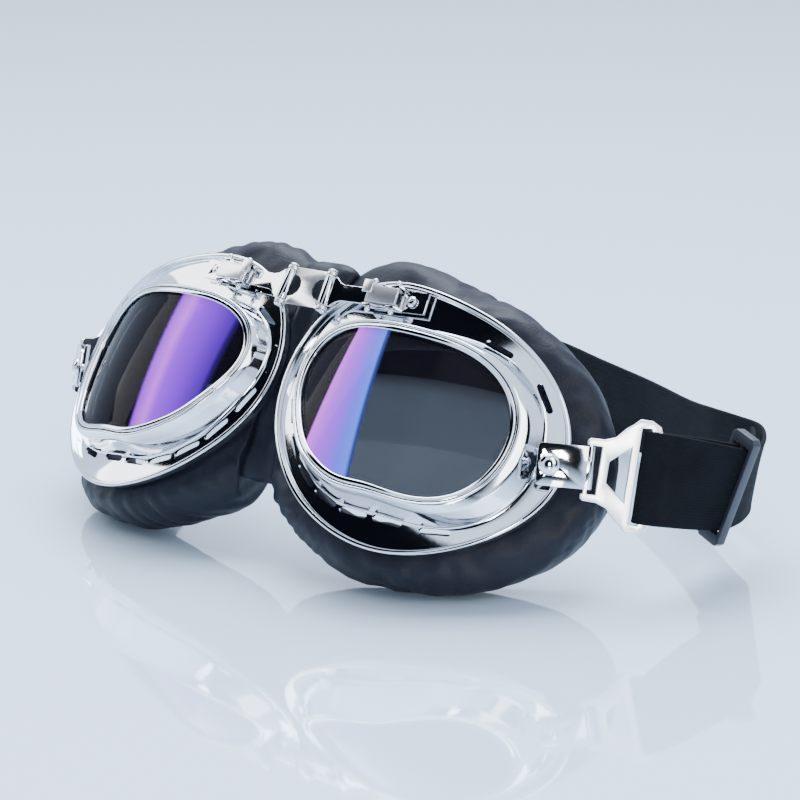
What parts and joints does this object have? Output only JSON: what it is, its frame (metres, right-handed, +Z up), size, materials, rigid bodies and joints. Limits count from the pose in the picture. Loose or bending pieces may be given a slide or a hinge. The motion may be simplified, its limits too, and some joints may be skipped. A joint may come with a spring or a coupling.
{
  "type": "motorcycle goggles",
  "caption": "Vintage style motorcycle goggles with domed chrome eyecups, curved smoke lenses, padded cushions, a folding bridge and an elastic strap.",
  "frame": {"origin": "bottom centre of the bounding box, with the goggles standing on their cushions and the back of the strap", "axes": "+X to the lens at the right of a front view, the longest way; +Y from the lenses back towards the head; +Z up"},
  "size_m": [0.2612, 0.1998, 0.0837],
  "materials": {
    "chrome": "mirror-bright plating",
    "steel": "polished",
    "lens": "smoke tint with a violet mirror flash",
    "leatherette": "satin, fine grain, gathered at the edge",
    "gasket": "matte",
    "webbing": "woven elastic",
    "plastic": "moulded satin"
  },
  "bodies": {
    "right_eyecup": {"right_eyecup_frame": "chrome", "right_lens_bezel": "chrome", "right_lens_gasket": "gasket", "right_lens": "lens", "right_face_cushion": "leatherette", "right_bridge_base": "chrome", "right_bridge_screw": "chrome", "right_guide_pin": "chrome", "right_lever_pin": "chrome", "right_strap_tab": "chrome", "right_tab_rivet": "chrome", "elastic_strap": "webbing"},
    "right_tongue": {"right_hinge_tongue": "chrome"},
    "bridge": {"bridge_link": "chrome", "right_hinge_pin": "chrome", "left_hinge_pin": "chrome", "nose_web": "leatherette"},
    "left_tongue": {"left_hinge_tongue": "chrome"},
    "left_eyecup": {"left_eyecup_frame": "chrome", "left_lens_bezel": "chrome", "left_lens_gasket": "gasket", "left_lens": "lens", "left_face_cushion": "leatherette", "left_bridge_base": "chrome", "left_bridge_screw": "chrome", "left_guide_pin": "chrome", "left_lever_pin": "chrome", "left_strap_tab": "chrome", "left_tab_rivet": "chrome"},
    "right_lever": {"right_clamp_lever": "chrome"},
    "left_lever": {"left_clamp_lever": "chrome"},
    "right_buckle": {"right_strap_buckle": "steel"},
    "left_buckle": {"left_strap_buckle": "steel"},
    "slider": {"strap_slider": "plastic"}
  },
  "joints": [
    {"name": "right_tongue_slide", "type": "slide", "parent": "right_eyecup", "child": "right_tongue", "axis": [-0.9977, -0.0653, -0.0204], "range_m": [-0.0006, 0.0025], "deforming": ["nose_web", "elastic_strap"]},
    {"name": "right_bridge_hinge", "type": "hinge", "parent": "right_tongue", "child": "bridge", "pos_m": [0.00765, -0.06063, 0.07719], "axis": [-0.0541, 0.5713, 0.819], "range_deg": [-14, 10], "deforming": ["nose_web", "elastic_strap"]},
    {"name": "left_bridge_hinge", "type": "hinge", "parent": "bridge", "child": "left_tongue", "pos_m": [-0.00765, -0.06063, 0.07719], "axis": [0.0541, 0.5713, 0.819], "range_deg": [-14, 10], "deforming": ["nose_web", "elastic_strap"]},
    {"name": "left_tongue_slide", "type": "slide", "parent": "left_tongue", "child": "left_eyecup", "axis": [-0.9977, 0.0653, 0.0204], "range_m": [-0.0006, 0.0025], "deforming": ["nose_web", "elastic_strap"]},
    {"name": "right_lever_hinge", "type": "hinge", "parent": "right_eyecup", "child": "right_lever", "pos_m": [0.03244, -0.06, 0.07838], "axis": [-0.0541, 0.5713, 0.819], "range_deg": [0, 100]},
    {"name": "left_lever_hinge", "type": "hinge", "parent": "left_eyecup", "child": "left_lever", "pos_m": [-0.03244, -0.06, 0.07838], "axis": [-0.0541, -0.5713, -0.819], "range_deg": [0, 100]},
    {"name": "right_buckle_hinge", "type": "hinge", "parent": "right_eyecup", "child": "right_buckle", "pos_m": [0.09786, -0.05855, 0.03815], "axis": [-0.0014, 0.2739, 0.9618], "range_deg": [-20, 25], "deforming": ["elastic_strap"]},
    {"name": "left_buckle_hinge", "type": "hinge", "parent": "left_eyecup", "child": "left_buckle", "pos_m": [-0.09786, -0.05855, 0.03815], "axis": [-0.0014, -0.2739, -0.9618], "range_deg": [-30, 5], "deforming": ["elastic_strap"]},
    {"name": "slider_slide", "type": "slide", "parent": "right_eyecup", "child": "slider", "axis": [0.3007, 0.9314, -0.205], "range_m": [-0.006, 0], "deforming": ["elastic_strap"]}
  ]
}
